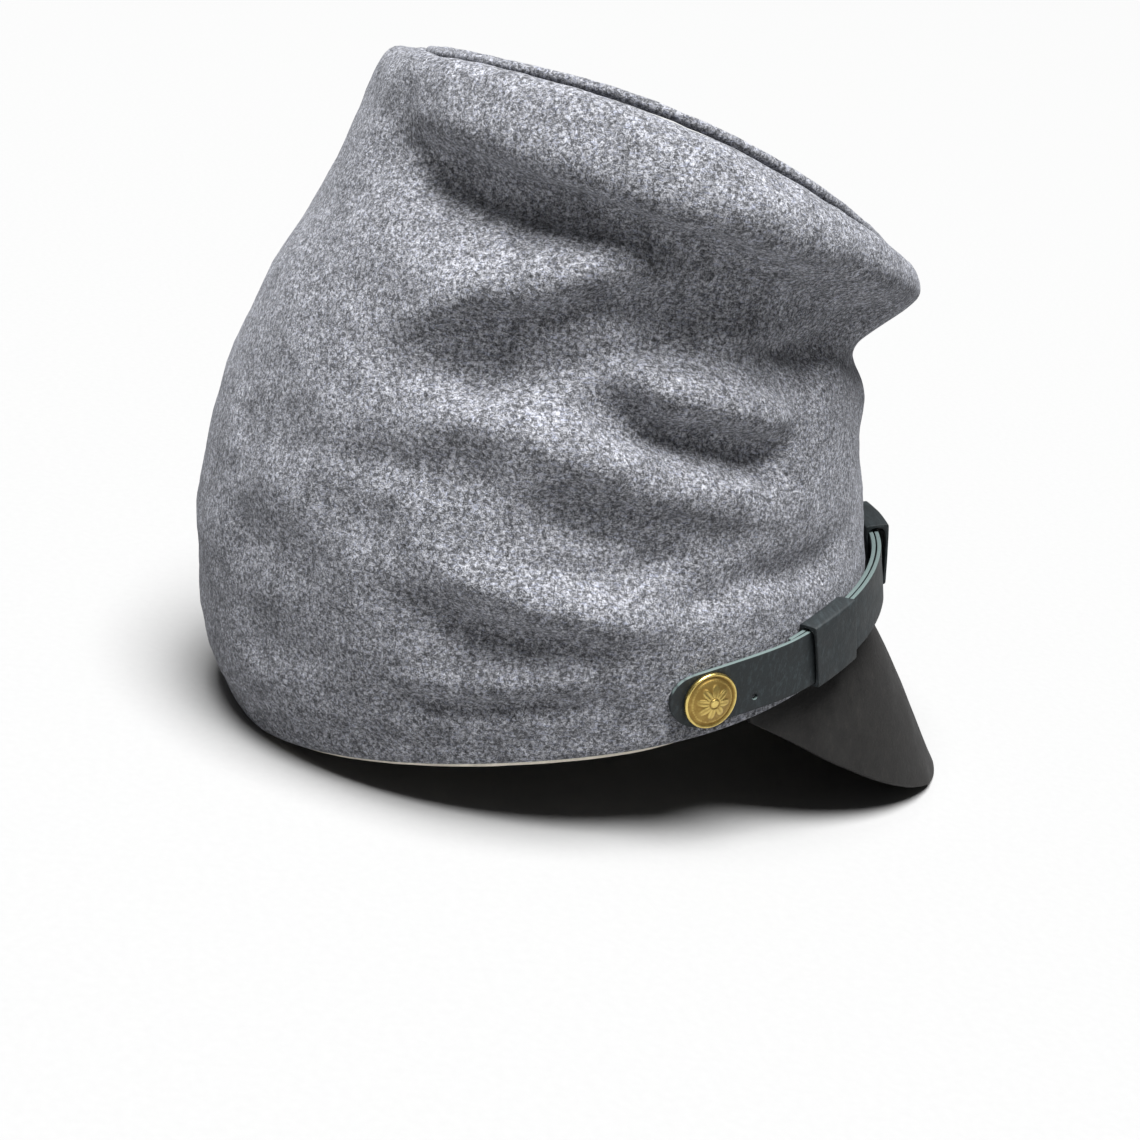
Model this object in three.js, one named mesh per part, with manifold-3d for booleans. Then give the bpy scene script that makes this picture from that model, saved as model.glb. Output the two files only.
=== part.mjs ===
// Forage cap of grey wool cloth, with a drooping leather peak and a two-piece leather chin strap.
//
// The cap is shaped in its own frame, in millimetres: the hem lies in the plane z = 0, the front is -y,
// the wearer's left is +x and up is +z. It is then leant back until the edge of the peak and the back of
// the hem lie on one floor, as the cap rests by itself on a table.
// Angles around the cap are in degrees from the front, positive towards the wearer's left.
import * as THREE from "three";
import Module from "manifold-3d";
import { mergeVertices } from "three/addons/utils/BufferGeometryUtils.js";

// Crown
const head_length = 196; // outside of the hem, front to back
const head_width = 170; // outside of the hem, side to side
const crown_height = 177; // hem to the highest point of the back
const cloth_thickness = 2.6;
const crown_lean = 6.5; // degrees that the top leans to the wearer's left
const hem_back_sag = 3.5; // the soft hem hangs this much lower at the back
const sag_sharpness = 3; // power that keeps the sag to the back
const hem_side_sag = { angle: 72, reach: 26, depth: 2 }; // and this much below each button
const sag_height = 0.3; // share of the crown over which both fade out
const hem_fold_height = 6.5; // stitched turn-up of the hem
const hem_fold_dent = 0.7;

// Piping around the top
const piping_diameter = 3.4;
const piping_lift = 0.45; // its underside clears the seam by this much

// Sweatband inside the hem
const sweatband_thickness = 1.2;
const sweatband_height = 32;
const sweatband_shows = 2; // below the hem
const sweatband_lean = 2; // its free upper edge leans in this much
const sweatband_turn_in = 0.4; // and its lower edge this much
const band_step_start = 3; // degrees past the peak's corner, where the band begins to step out
const band_step_end = 25; // and where it lies on the cloth again

// Peak
const peak_thickness = 2.2;
const peak_half_angle = 63.5; // from the front to each corner
const peak_drop = 60.3; // hem to the edge, at the front
const peak_flare = 22.3; // how far the edge stands out from the seam, at the front
const peak_corner_drop = 2.5;
const peak_flange = 6; // sewn in behind the hem
const peak_flare_taper = 1.3; // powers that run the peak out towards its corners
const peak_drop_taper = 1.2;
const peak_flare_bend = 0.72; // power that bends the peak down as it stands out

// Chin strap
const strap_width = 16;
const strap_thickness = 1.3;
const strap_height = 12.4; // hem to the middle of the strap
const strap_standoff = 1.6; // cloth to the inner strap, in front of the buttons
const strap_bow = { angle: -3, reach: 15, out: 1.2 }; // it stands out further here, over the front
const strap_rise_share = 1.3; // button diameters over which the strap rises to its standoff
const button_angle = 72.4;
const keeper_right_angle = -46;
const keeper_left_angle = -1.5;
const keeper_length = 19;
const keeper_thickness = 1;
const keeper_right_play = 0.8; // how loosely the top of a keeper lies around the straps
const keeper_left_play = 1.8;
const strap_tip = 6; // how far a strap end stands out of its keeper
const strap_end = 3.4; // how far the rounded end shows past the button
const awl_hole_diameter = 1.6;
const awl_hole_distance = 14; // from the button, along the strap

// Side buttons
const button_diameter = 15.8;
const button_dome = 3.6;
const button_edge = 1.5; // height of the button's edge
const button_rim = 1.2; // width of the raised rim
const button_rim_step = 0.5;
const shank_diameter = 3;

// Fits
const gap = 0.3; // between pieces that lie on each other
const floor_press = 2; // the weight of the cap presses the cloth and the peak's edge this flat

// Mesh steps
const crown_stations = 72;
const crown_rows = 23;
const welt_stations = 60;
const band_stations = 48;
const peak_stations = 24;
const peak_rows = 7;
const strap_step = 6; // degrees
const round_steps = 16;
const strap_end_turns = [10, 30, 50, 70]; // degrees round the strap's end at its button
const top_rings = [1, 0.7, 0.35, 0]; // shares of the top's radius
const hole_tool_reach = 6; // times the cloth, so that a hole's tool passes through strap and cloth

const half_length = head_length / 2;
const half_width = head_width / 2;
const radians = THREE.MathUtils.degToRad;
const degrees = THREE.MathUtils.radToDeg;
const smoothstep = THREE.MathUtils.smoothstep;
const lerp = THREE.MathUtils.lerp;

// Sections of the crown, from the hem at v = 0 to the seam of the top at v = 1. Each is an oval between a
// point on the back line and a point on the front line. back, front and width are shares of half_length
// and half_width. back_rise, front_rise and arch are shares of crown_height, and arch lifts the sides of
// an oval above its ends.
const sections = [
  { v: 0.0, back: 0.99, back_rise: 0.0, front: 0.955, front_rise: 0.0, width: 1.0, arch: 0.0 },
  { v: 0.12, back: 1.04, back_rise: 0.12, front: 0.953, front_rise: 0.09, width: 1.02, arch: 0.0 },
  { v: 0.24, back: 1.016, back_rise: 0.25, front: 0.955, front_rise: 0.18, width: 1.03, arch: 0.0 },
  { v: 0.36, back: 0.98, back_rise: 0.375, front: 0.962, front_rise: 0.265, width: 1.01, arch: 0.0 },
  { v: 0.47, back: 0.895, back_rise: 0.5, front: 0.965, front_rise: 0.34, width: 0.975, arch: 0.005 },
  { v: 0.57, back: 0.785, back_rise: 0.615, front: 0.966, front_rise: 0.405, width: 0.935, arch: 0.01 },
  { v: 0.66, back: 0.645, back_rise: 0.72, front: 0.962, front_rise: 0.45, width: 0.9, arch: 0.02 },
  { v: 0.74, back: 0.53, back_rise: 0.79, front: 1.04, front_rise: 0.474, width: 0.88, arch: 0.03 },
  { v: 0.81, back: 0.44, back_rise: 0.87, front: 1.14, front_rise: 0.498, width: 0.915, arch: 0.042 },
  { v: 0.88, back: 0.35, back_rise: 0.945, front: 1.16, front_rise: 0.52, width: 0.91, arch: 0.056 },
  { v: 0.94, back: 0.285, back_rise: 1.008, front: 1.142, front_rise: 0.546, width: 0.84, arch: 0.061 },
  { v: 1.0, back: 0.18, back_rise: 0.971, front: 1.065, front_rise: 0.553, width: 0.7, arch: 0.065 },
];

// Folds in the cloth and ridges between them, each along a path of points given by angle and v. reach, the
// half-width, and depth are shares of crown_height. A negative depth goes inwards.
const folds = [
  // wearer's right
  { path: [[-158, 0.82], [-122, 0.8], [-84, 0.775], [-60, 0.75], [-38, 0.735]], reach: 0.05, depth: -0.042 },
  { path: [[-138, 0.79], [-120, 0.76]], reach: 0.065, depth: -0.016 },
  { path: [[-162, 0.8], [-136, 0.73], [-114, 0.71], [-102, 0.76]], reach: 0.045, depth: 0.014 },
  { path: [[-128, 0.59], [-112, 0.65], [-96, 0.7], [-74, 0.69]], reach: 0.045, depth: -0.026 },
  { path: [[-118, 0.56], [-104, 0.6], [-88, 0.56]], reach: 0.04, depth: -0.01 },
  { path: [[-97, 0.63], [-72, 0.65]], reach: 0.045, depth: 0.012 },
  { path: [[-78, 0.615], [-58, 0.62], [-34, 0.67]], reach: 0.042, depth: -0.024 },
  { path: [[-84, 0.59], [-60, 0.555]], reach: 0.042, depth: 0.014 },
  { path: [[-92, 0.55], [-78, 0.51], [-56, 0.47]], reach: 0.042, depth: -0.02 },
  { path: [[-100, 0.49], [-82, 0.46], [-66, 0.42]], reach: 0.042, depth: 0.012 },
  { path: [[-96, 0.43], [-80, 0.38], [-68, 0.35]], reach: 0.042, depth: -0.016 },
  { path: [[-90, 0.295], [-62, 0.3], [-38, 0.24]], reach: 0.042, depth: -0.014 },
  { path: [[-112, 0.33], [-96, 0.27], [-78, 0.18]], reach: 0.045, depth: 0.012 },
  { path: [[-118, 0.26], [-98, 0.2], [-86, 0.16]], reach: 0.042, depth: -0.013 },
  // front
  { path: [[-28, 0.63], [0, 0.6], [26, 0.63]], reach: 0.042, depth: -0.008 },
  { path: [[-22, 0.42], [12, 0.38]], reach: 0.05, depth: -0.006 },
  { path: [[-16, 0.52], [20, 0.5]], reach: 0.045, depth: 0.008 },
  // wearer's left
  { path: [[155, 0.825], [118, 0.8], [76, 0.77], [36, 0.735]], reach: 0.05, depth: -0.036 },
  { path: [[132, 0.62], [100, 0.68], [66, 0.66]], reach: 0.045, depth: -0.024 },
  { path: [[112, 0.6], [78, 0.6]], reach: 0.045, depth: 0.013 },
  { path: [[74, 0.6], [44, 0.64]], reach: 0.042, depth: -0.018 },
  { path: [[104, 0.53], [80, 0.49], [54, 0.46]], reach: 0.042, depth: -0.018 },
  { path: [[110, 0.43], [72, 0.38]], reach: 0.045, depth: 0.012 },
  { path: [[114, 0.33], [88, 0.29], [52, 0.29]], reach: 0.042, depth: -0.015 },
  // back
  { path: [[166, 0.6], [-174, 0.54], [-150, 0.5]], reach: 0.045, depth: -0.006 },
  { path: [[150, 0.42], [176, 0.38], [-158, 0.36]], reach: 0.05, depth: -0.006 },
  { path: [[-166, 0.3], [-186, 0.29], [-206, 0.31]], reach: 0.05, depth: 0.005 },
];
const folds_begin = { from: 0.12, to: 0.28 }; // v over which the folds rise out of the plain hem band
const folds_end = { from: 0.93, to: 1 }; // and run out at the seam

// Value of one column of the sections at v, on a smooth curve through the rows.
function section_value(name, v) {
  const last = sections.length - 1;
  const i = THREE.MathUtils.clamp(sections.findIndex((row) => row.v >= v), 1, last);
  const before = sections[Math.max(i - 2, 0)];
  const low = sections[i - 1];
  const high = sections[i];
  const after = sections[Math.min(i + 1, last)];
  const step = high.v - low.v;
  const t = (v - low.v) / step;
  const slope_low = (step * (high[name] - before[name])) / (high.v - before.v);
  const slope_high = (step * (after[name] - low[name])) / (after.v - low.v);
  const rise = high[name] - low[name];
  const bend = 3 * rise - 2 * slope_low - slope_high;
  const twist = slope_low + slope_high - 2 * rise;
  return low[name] + t * (slope_low + t * (bend + t * twist));
}

// Point of the crown's outer surface before folds. share, from 0 to 1, draws the oval in to its middle.
function crown_point(angle, v, share = 1) {
  const front = section_value("front", v) * half_length;
  const back = section_value("back", v) * half_length;
  const front_rise = section_value("front_rise", v) * crown_height;
  const back_rise = section_value("back_rise", v) * crown_height;
  const ahead = Math.cos(radians(angle)) * share;
  const x = Math.sin(radians(angle)) * section_value("width", v) * half_width * share;
  const y = lerp(back, -front, (1 + ahead) / 2);
  const rise = lerp(back_rise, front_rise, (1 + ahead) / 2);
  const arch = section_value("arch", v) * crown_height * (1 - ahead * ahead);
  const lean = x * Math.tan(radians(crown_lean)) * v * v;
  const back_sag = hem_back_sag * Math.max(0, -ahead) ** sag_sharpness;
  const from_side = (Math.abs(turn_between(0, angle)) - hem_side_sag.angle) / hem_side_sag.reach;
  const side_sag = hem_side_sag.depth * Math.exp(-(from_side ** 2));
  const sag = (back_sag + side_sag) * (1 - smoothstep(v, 0, sag_height));
  return new THREE.Vector3(x, y, rise + arch - lean - sag);
}

// Outward unit normal of a surface given by a function of angle and v.
function surface_normal(surface, angle, v) {
  const around = surface(angle + 0.5, v).sub(surface(angle - 0.5, v));
  const up = surface(angle, Math.min(v + 0.004, 1)).sub(surface(angle, Math.max(v - 0.004, 0)));
  return around.cross(up).normalize();
}

// Signed turn in degrees from one angle to another, the short way round
function turn_between(from, to) {
  return THREE.MathUtils.euclideanModulo(to - from + 180, 360) - 180;
}

// Distance on the unrolled crown from a point to a stretch of a fold's path
function distance_to_stretch(angle, v, [from_angle, from_v], [to_angle, to_v]) {
  const flat = (turn, rise) => new THREE.Vector2(radians(turn) * half_width, rise * crown_height);
  const stretch = flat(turn_between(from_angle, to_angle), to_v - from_v);
  const here = flat(turn_between(from_angle, angle), v - from_v);
  const along = THREE.MathUtils.clamp(here.dot(stretch) / stretch.lengthSq(), 0, 1);
  return here.distanceTo(stretch.multiplyScalar(along));
}

// Height of the folds above the plain crown at a point
function relief(angle, v) {
  let height = 0;
  for (const { path, reach, depth } of folds) {
    const distances = path.slice(1).map((end, i) => distance_to_stretch(angle, v, path[i], end));
    const share = Math.min(...distances) / (reach * crown_height);
    height += depth * crown_height * Math.exp(-(share ** 2));
  }
  const above_band = smoothstep(v, folds_begin.from, folds_begin.to);
  return height * above_band * (1 - smoothstep(v, folds_end.from, folds_end.to));
}

// Depth of the groove that the hem's stitches pull into the outside of the cloth
function stitch_groove(v) {
  const hem_v = hem_fold_height / crown_height;
  return hem_fold_dent * Math.exp(-(((v - hem_v) / (hem_v / 2)) ** 2));
}

// Point of the cloth's outer surface, folds included. depth moves it in, through the cloth.
function cloth_point(angle, v, depth = 0) {
  const normal = surface_normal(crown_point, angle, v);
  return crown_point(angle, v).addScaledVector(normal, relief(angle, v) - depth);
}

// v at which the plain crown is at a height above its hem.
function v_at(angle, height) {
  let low = 0;
  let high = 0.5;
  const hem = crown_point(angle, 0).z;
  for (let i = 0; i < 24; i += 1) {
    const middle = (low + high) / 2;
    if (crown_point(angle, middle).z - hem < height) {
      low = middle;
    } else {
      high = middle;
    }
  }
  return low;
}

// Peak
const seam_depth = cloth_thickness + gap; // outside of the cloth to the outside of the flange

function peak_share(angle) {
  return 1 - (angle / peak_half_angle) ** 2;
}

// Point of the peak's outer side. q is 0 at the hem and 1 at the edge.
function peak_point(angle, q) {
  const share = peak_share(angle);
  const hem = crown_point(angle, 0);
  const outward = new THREE.Vector3(hem.x / half_width ** 2, hem.y / half_length ** 2, 0).normalize();
  const out = peak_flare * Math.max(share, 0) ** peak_flare_taper * q ** peak_flare_bend - seam_depth;
  const drop = lerp(peak_corner_drop, peak_drop, Math.max(share, 0) ** peak_drop_taper) * q;
  return hem.addScaledVector(outward, out).add(new THREE.Vector3(0, 0, -drop));
}

function peak_normal(angle, q) {
  const around = peak_point(angle + 0.5, q).sub(peak_point(angle - 0.5, q));
  const up = peak_point(angle, Math.max(q - 0.02, 0)).sub(peak_point(angle, Math.min(q + 0.02, 1)));
  return around.cross(up).normalize();
}

// Floor: the line through the back of the hem that just touches the peak, then pressed in.
const hem_back = crown_point(180, 0);
let rest_tilt = 0;
for (let angle = 0; angle < peak_half_angle; angle += 1) {
  const edge = peak_point(angle, 1);
  rest_tilt = Math.max(rest_tilt, Math.atan2(hem_back.z - edge.z, hem_back.y - edge.y));
}
const floor_normal = new THREE.Vector3(0, -Math.sin(rest_tilt), Math.cos(rest_tilt));
const floor_level = floor_normal.dot(hem_back) + floor_press;

// Lifts a point that would lie below the floor onto it.
function pressed(point) {
  const depth = floor_level - floor_normal.dot(point);
  return depth > 0 ? point.addScaledVector(floor_normal, depth) : point;
}

// Closed body from an indexed or plain geometry: shared points merged, no flat triangles, faces outwards.
function solid(geometry) {
  geometry.deleteAttribute("normal");
  geometry.deleteAttribute("uv");
  const merged = mergeVertices(geometry, 1e-4);
  const place = merged.getAttribute("position");
  const corner = [0, 1, 2].map(() => new THREE.Vector3());
  const faces = [];
  let volume = 0;
  for (let i = 0; i < merged.index.count; i += 3) {
    const face = [0, 1, 2].map((k) => merged.index.getX(i + k));
    if (new Set(face).size === 3) {
      faces.push(face);
      corner.forEach((point, k) => point.fromBufferAttribute(place, face[k]));
      volume += corner[0].dot(corner[1].cross(corner[2]));
    }
  }
  merged.setIndex(faces.flatMap((face) => (volume < 0 ? face.reverse() : face)));
  return merged;
}

// Body through stations, each a closed loop of points. An open row of stations is capped: a loop goes up
// the outer side and back down the inner side, and its cap joins each outer point to the inner one.
function loft(stations, closed) {
  const count = stations[0].length;
  const index = [];
  const quad = (a, b, c, d) => index.push(a, b, c, a, c, d);
  for (let i = 0; i < stations.length - (closed ? 0 : 1); i += 1) {
    const here = i * count;
    const next = ((i + 1) % stations.length) * count;
    for (let j = 0; j < count; j += 1) {
      const k = (j + 1) % count;
      quad(here + j, next + j, next + k, here + k);
    }
  }
  if (!closed) {
    const end = (stations.length - 1) * count;
    for (let j = 0; j < count / 2 - 1; j += 1) {
      quad(j, j + 1, count - 2 - j, count - 1 - j);
      quad(end + j + 1, end + j, end + count - 1 - j, end + count - 2 - j);
    }
  }
  const geometry = new THREE.BufferGeometry().setFromPoints(stations.flat());
  geometry.setIndex(index);
  return solid(geometry);
}

// Loop of an outer and an inner row of points.
function section_loop(outer, inner) {
  return [...outer, ...inner.reverse()];
}

function range(count) {
  return [...Array(count).keys()];
}

const wasm = await Module();
wasm.setup();

function to_manifold(geometry) {
  const vertProperties = new Float32Array(geometry.getAttribute("position").array);
  const triVerts = new Uint32Array(geometry.index.array);
  return new wasm.Manifold(new wasm.Mesh({ numProp: 3, vertProperties, triVerts }));
}

// Body less a list of tools.
function cut(body, tools) {
  const left = tools.reduce((rest, tool) => rest.subtract(to_manifold(tool)), to_manifold(body));
  const mesh = left.getMesh();
  const geometry = new THREE.BufferGeometry();
  geometry.setAttribute("position", new THREE.BufferAttribute(new Float32Array(mesh.vertProperties), 3));
  geometry.setIndex([...mesh.triVerts]);
  return geometry;
}

// Crown: a shell of cloth, open at the hem and at the seam of the top
function crown_body() {
  const stations = range(crown_stations).map((i) => {
    const angle = (360 * i) / crown_stations;
    const rows = range(crown_rows + 1).map((j) => j / crown_rows);
    const outer = rows.map((v) => pressed(cloth_point(angle, v, stitch_groove(v))));
    const inner = rows.map((v) => pressed(cloth_point(angle, v, cloth_thickness)));
    inner[crown_rows] = crown_point(angle, 1).addScaledVector(top_axis, -cloth_thickness);
    return section_loop(outer, inner);
  });
  return cut(loft(stations, true), [shank_hole(button_angle), shank_hole(-button_angle)]);
}

// Direction that the top faces
const top_length = crown_point(0, 1).sub(crown_point(180, 1));
const top_width = crown_point(-90, 1).sub(crown_point(90, 1));
const top_axis = top_width.cross(top_length).normalize();

// Normal of the top near its rim
function top_normal(angle) {
  return surface_normal((a, v) => crown_point(a, 1, 1 - 0.1 * v), angle, 0.5);
}

// Top: a bent disc of cloth inside the seam
function crown_top() {
  const edge = 1 - gap / (section_value("width", 1) * half_width);
  const stations = range(band_stations).map((i) => {
    const angle = (360 * i) / band_stations;
    const outer = top_rings.map((share) => crown_point(angle, 1, edge * share));
    const inner = outer.map((point) => point.clone().addScaledVector(top_axis, -cloth_thickness));
    return section_loop(outer, inner);
  });
  return loft(stations, true);
}

// Piping that stands on the seam
function top_welt() {
  const radius = piping_diameter / 2;
  const stations = range(welt_stations).map((i) => {
    const angle = (360 * i) / welt_stations;
    const up = top_normal(angle);
    const along = crown_point(angle + 1, 1).sub(crown_point(angle - 1, 1)).normalize();
    const out = along.clone().cross(up).normalize();
    const centre = crown_point(angle, 1).addScaledVector(up, radius + piping_lift);
    return range(8).map((k) => {
      const turn = (Math.PI * (k + 0.5)) / 4;
      const point = centre.clone().addScaledVector(up, Math.cos(turn) * radius);
      return point.addScaledVector(out, Math.sin(turn) * radius);
    });
  });
  return loft(stations, true);
}

// Sweatband: it steps in behind the flange of the peak
function sweatband() {
  const stations = range(band_stations).map((i) => {
    const angle = (360 * i) / band_stations;
    const from_front = Math.abs(THREE.MathUtils.euclideanModulo(angle + 180, 360) - 180);
    const past_corner = from_front - peak_half_angle;
    const behind_peak = 1 - smoothstep(past_corner, band_step_start, band_step_end);
    const depth = seam_depth + behind_peak * (peak_thickness + gap);
    const heights = [0, 0.5, 1].map((share) => share * sweatband_height);
    const side = (extra) =>
      heights.map((height) => {
        const lean = height === 0 ? sweatband_turn_in : (sweatband_lean * height) / sweatband_height;
        const point = cloth_point(angle, v_at(angle, height), depth + lean + extra);
        point.z -= height === 0 ? sweatband_shows : 0;
        return pressed(point);
      });
    return section_loop(side(0), side(sweatband_thickness));
  });
  return loft(stations, true);
}

function peak() {
  const stations = range(peak_stations + 1).map((i) => {
    const angle = lerp(-peak_half_angle, peak_half_angle, i / peak_stations);
    const side = (extra) => {
      const flange = [peak_flange, peak_flange / 2].map((height) => {
        return cloth_point(angle, v_at(angle, height), seam_depth + extra);
      });
      const blade = range(peak_rows + 1).map((j) => {
        const q = j / peak_rows;
        return pressed(peak_point(angle, q).addScaledVector(peak_normal(angle, q), -extra));
      });
      return [...flange, ...blade];
    };
    return section_loop(side(0), side(peak_thickness));
  });
  return loft(stations, false);
}

// Chin strap. Its pieces are laid out in the strap's own space: an angle around the cap, a distance across
// the strap from its middle, and a distance out from the cloth.
function strap_space(angle, across, out) {
  const normal = surface_normal(crown_point, angle, v_at(angle, strap_height));
  return crown_point(angle, v_at(angle, strap_height + across)).addScaledVector(normal, out);
}

// Distance out from the cloth to the inner strap
function inner_out(angle) {
  return strap_standoff + strap_bow.out * Math.exp(-(((angle - strap_bow.angle) / strap_bow.reach) ** 2));
}

// Angle after a distance along the strap from another angle
function angle_after(angle, distance) {
  const speed = Math.hypot(half_width * Math.cos(radians(angle)), half_length * Math.sin(radians(angle)));
  return angle + degrees(distance / speed);
}

const strap_layer = strap_thickness + gap;

// Strap from its button, on the side given by sign, to the far keeper. layer is its distance out from where
// the inner strap lies.
function strap(sign, end_angle, layer) {
  const radius = strap_width / 2;
  const foot = angle_after(button_angle, -button_diameter / 2 - gap);
  const full = angle_after(foot, -strap_rise_share * button_diameter);
  const tip = angle_after(sign * end_angle, -(keeper_length / 2 + strap_tip));
  const rows = [];
  const end_middle = button_diameter / 2 + strap_end - radius;
  for (const turn of strap_end_turns) {
    rows.push({
      angle: angle_after(button_angle, end_middle + radius * Math.cos(radians(turn))),
      half: radius * Math.sin(radians(turn)),
    });
  }
  const start = angle_after(button_angle, end_middle);
  const steps = Math.round((start - tip) / strap_step);
  for (const i of range(steps + 1)) {
    rows.push({ angle: lerp(start, tip, i / steps), half: radius });
  }
  const stations = rows.map(({ angle, half }) => {
    const out = lerp(gap, inner_out(sign * angle) + layer, 1 - smoothstep(angle, full, foot));
    const side = (extra) => [half, 0, -half].map((across) => strap_space(sign * angle, across, out + extra));
    return section_loop(side(strap_thickness), side(0));
  });
  const awl_angle = sign * angle_after(button_angle, -awl_hole_distance);
  const tools = [shank_hole(sign * button_angle), round_hole(awl_angle, awl_hole_diameter, -radius / 2)];
  return cut(loft(stations, false), tools);
}

// Leather loop around both straps. play is how loosely its top lies around them.
function keeper(angle, play) {
  const half_height = strap_width / 2 + gap;
  const high = 2 * strap_layer;
  const corner = keeper_thickness;
  const centres = [
    { out: high + play, across: half_height + play / 2, turn: 0 },
    { out: -gap, across: half_height + play / 2, turn: 90 },
    { out: -gap, across: -half_height, turn: 180 },
    { out: high, across: -half_height, turn: 270 },
  ];
  const stations = [];
  for (const { out, across, turn } of centres) {
    for (const part of [0, 45, 90]) {
      const direction = radians(turn + part);
      const side = (grow) =>
        [-0.5, 0, 0.5].map((share) => {
          const along = angle_after(angle, share * keeper_length);
          const from_cloth = inner_out(along) + out + grow * Math.cos(direction);
          return strap_space(along, across + grow * Math.sin(direction), from_cloth);
        });
      stations.push(section_loop(side(corner), side(0)));
    }
  }
  return loft(stations, true);
}

// Local frame of a place on the strap: z points out of the cloth
function strap_frame(angle, across) {
  const out = strap_space(angle, across, 1).sub(strap_space(angle, across, 0)).normalize();
  const up = strap_space(angle, across + 1, 0).sub(strap_space(angle, across - 1, 0)).normalize();
  const side = up.clone().cross(out).normalize();
  const frame = new THREE.Matrix4().makeBasis(side, out.clone().cross(side), out);
  return frame.setPosition(strap_space(angle, across, 0));
}

function round_hole(angle, diameter, across) {
  const tool = new THREE.CylinderGeometry(diameter / 2, diameter / 2, hole_tool_reach * cloth_thickness, 12);
  tool.rotateX(Math.PI / 2);
  return solid(tool.applyMatrix4(strap_frame(angle, across)));
}

function shank_hole(angle) {
  return round_hole(angle, shank_diameter + 2 * gap, 0);
}

// Domed button with a raised rim, and its shank through the strap and the cloth
function button(angle) {
  const radius = button_diameter / 2;
  const shank = shank_diameter / 2;
  const back = 2 * gap + strap_thickness;
  const field = radius - button_rim;
  const dome = [1, 0.8, 0.6, 0.4, 0.2, 0].map((share) => {
    const height = button_edge - button_rim_step + (button_dome - button_edge) * (1 - share * share);
    return new THREE.Vector2(field * share, back + height);
  });
  const profile = [
    new THREE.Vector2(0, -cloth_thickness),
    new THREE.Vector2(shank, -cloth_thickness),
    new THREE.Vector2(shank, back),
    new THREE.Vector2(radius - button_rim / 2, back),
    new THREE.Vector2(radius, back + button_rim / 2),
    new THREE.Vector2(radius, back + button_edge - button_rim / 2),
    new THREE.Vector2(radius - button_rim / 2, back + button_edge),
    ...dome,
  ];
  const turned = new THREE.LatheGeometry(profile, round_steps);
  turned.rotateX(Math.PI / 2);
  return solid(turned.applyMatrix4(strap_frame(angle, 0)));
}

const wool = { color: 0x83868c, roughness: 0.95, metalness: 0 };
const band_leather = { color: 0xd6cdb9, roughness: 0.7, metalness: 0 };
const peak_leather = { color: 0x2b2826, roughness: 0.55, metalness: 0 };
const strap_leather = { color: 0x373d3f, roughness: 0.6, metalness: 0 };
const brass = { color: 0xc9a24a, roughness: 0.35, metalness: 1 };

const cap = new THREE.Group();

function add(name, geometry, finish) {
  const mesh = new THREE.Mesh(geometry, new THREE.MeshStandardMaterial(finish));
  mesh.name = name;
  cap.add(mesh);
}

add("crown_body", crown_body(), wool);
add("crown_top", crown_top(), wool);
add("top_welt", top_welt(), wool);
add("sweatband", sweatband(), band_leather);
add("peak", peak(), peak_leather);
add("strap_right", strap(-1, keeper_left_angle, strap_layer), strap_leather);
add("strap_left", strap(1, keeper_right_angle, 0), strap_leather);
add("keeper_right", keeper(keeper_right_angle, keeper_right_play), strap_leather);
add("keeper_left", keeper(keeper_left_angle, keeper_left_play), strap_leather);
add("button_right", button(-button_angle), brass);
add("button_left", button(button_angle), brass);

// At rest the cap leans back, with the middle of its outline over the origin
cap.rotation.x = -rest_tilt;
const outline = new THREE.Box3().setFromObject(cap, true);
const middle = outline.getCenter(new THREE.Vector3());
cap.position.set(-middle.x, -middle.y, -outline.min.z);

const group = new THREE.Group();
group.add(cap);
export default group;
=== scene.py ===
"""Looks of a wool forage cap: its dressed pieces, finishes, floor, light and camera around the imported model."""

import math

import bmesh
import bpy
import numpy as np
from bpy.props import FloatProperty, FloatVectorProperty, IntProperty, PointerProperty
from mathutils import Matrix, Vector, noise
from mathutils.bvhtree import BVHTree


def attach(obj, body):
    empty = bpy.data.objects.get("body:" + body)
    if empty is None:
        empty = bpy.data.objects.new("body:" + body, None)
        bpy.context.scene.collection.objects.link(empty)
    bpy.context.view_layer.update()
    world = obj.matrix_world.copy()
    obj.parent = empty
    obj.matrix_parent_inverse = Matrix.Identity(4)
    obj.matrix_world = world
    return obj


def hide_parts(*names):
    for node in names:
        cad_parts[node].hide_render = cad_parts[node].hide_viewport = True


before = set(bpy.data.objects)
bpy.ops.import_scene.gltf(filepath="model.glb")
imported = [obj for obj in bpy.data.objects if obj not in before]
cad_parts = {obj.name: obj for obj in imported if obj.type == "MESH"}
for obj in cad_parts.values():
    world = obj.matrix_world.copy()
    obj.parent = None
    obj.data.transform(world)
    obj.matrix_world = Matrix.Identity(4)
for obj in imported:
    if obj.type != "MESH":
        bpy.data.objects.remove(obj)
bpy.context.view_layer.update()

bl_info = {
    "name": "Forage cap",
    "version": (1, 0, 0),
    "blender": (4, 5, 0),
    "location": "3D View > Sidebar > Cap",
    "description": "Dresses the packed forage cap in wool, leather and brass, and sets its stage",
    "category": "Object",
}

MM = 0.001
BODY = "root"
IMAGE_WIDTH = 1140
SENSOR_WIDTH = 36.0
CAMERA_LENS = 74.05
CAMERA_PLACE = Vector((-0.6336, 0.1772, 0.2699))
CAMERA_RIGHT = Vector((-0.2013, -0.9651, 0.1677)).normalized()
CAMERA_UP = Vector((0.3520, 0.0885, 0.9318)).normalized()
CAMERA_CLIP = (0.01, 50.0)
FLOOR_SIZE = 24.0
# The light above leans towards the camera and a little to the back.
KEY_PLACE = (0.0, 0.0, 1.5)
KEY_TURN = (math.radians(-2), math.radians(-12), 0.0)

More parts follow.
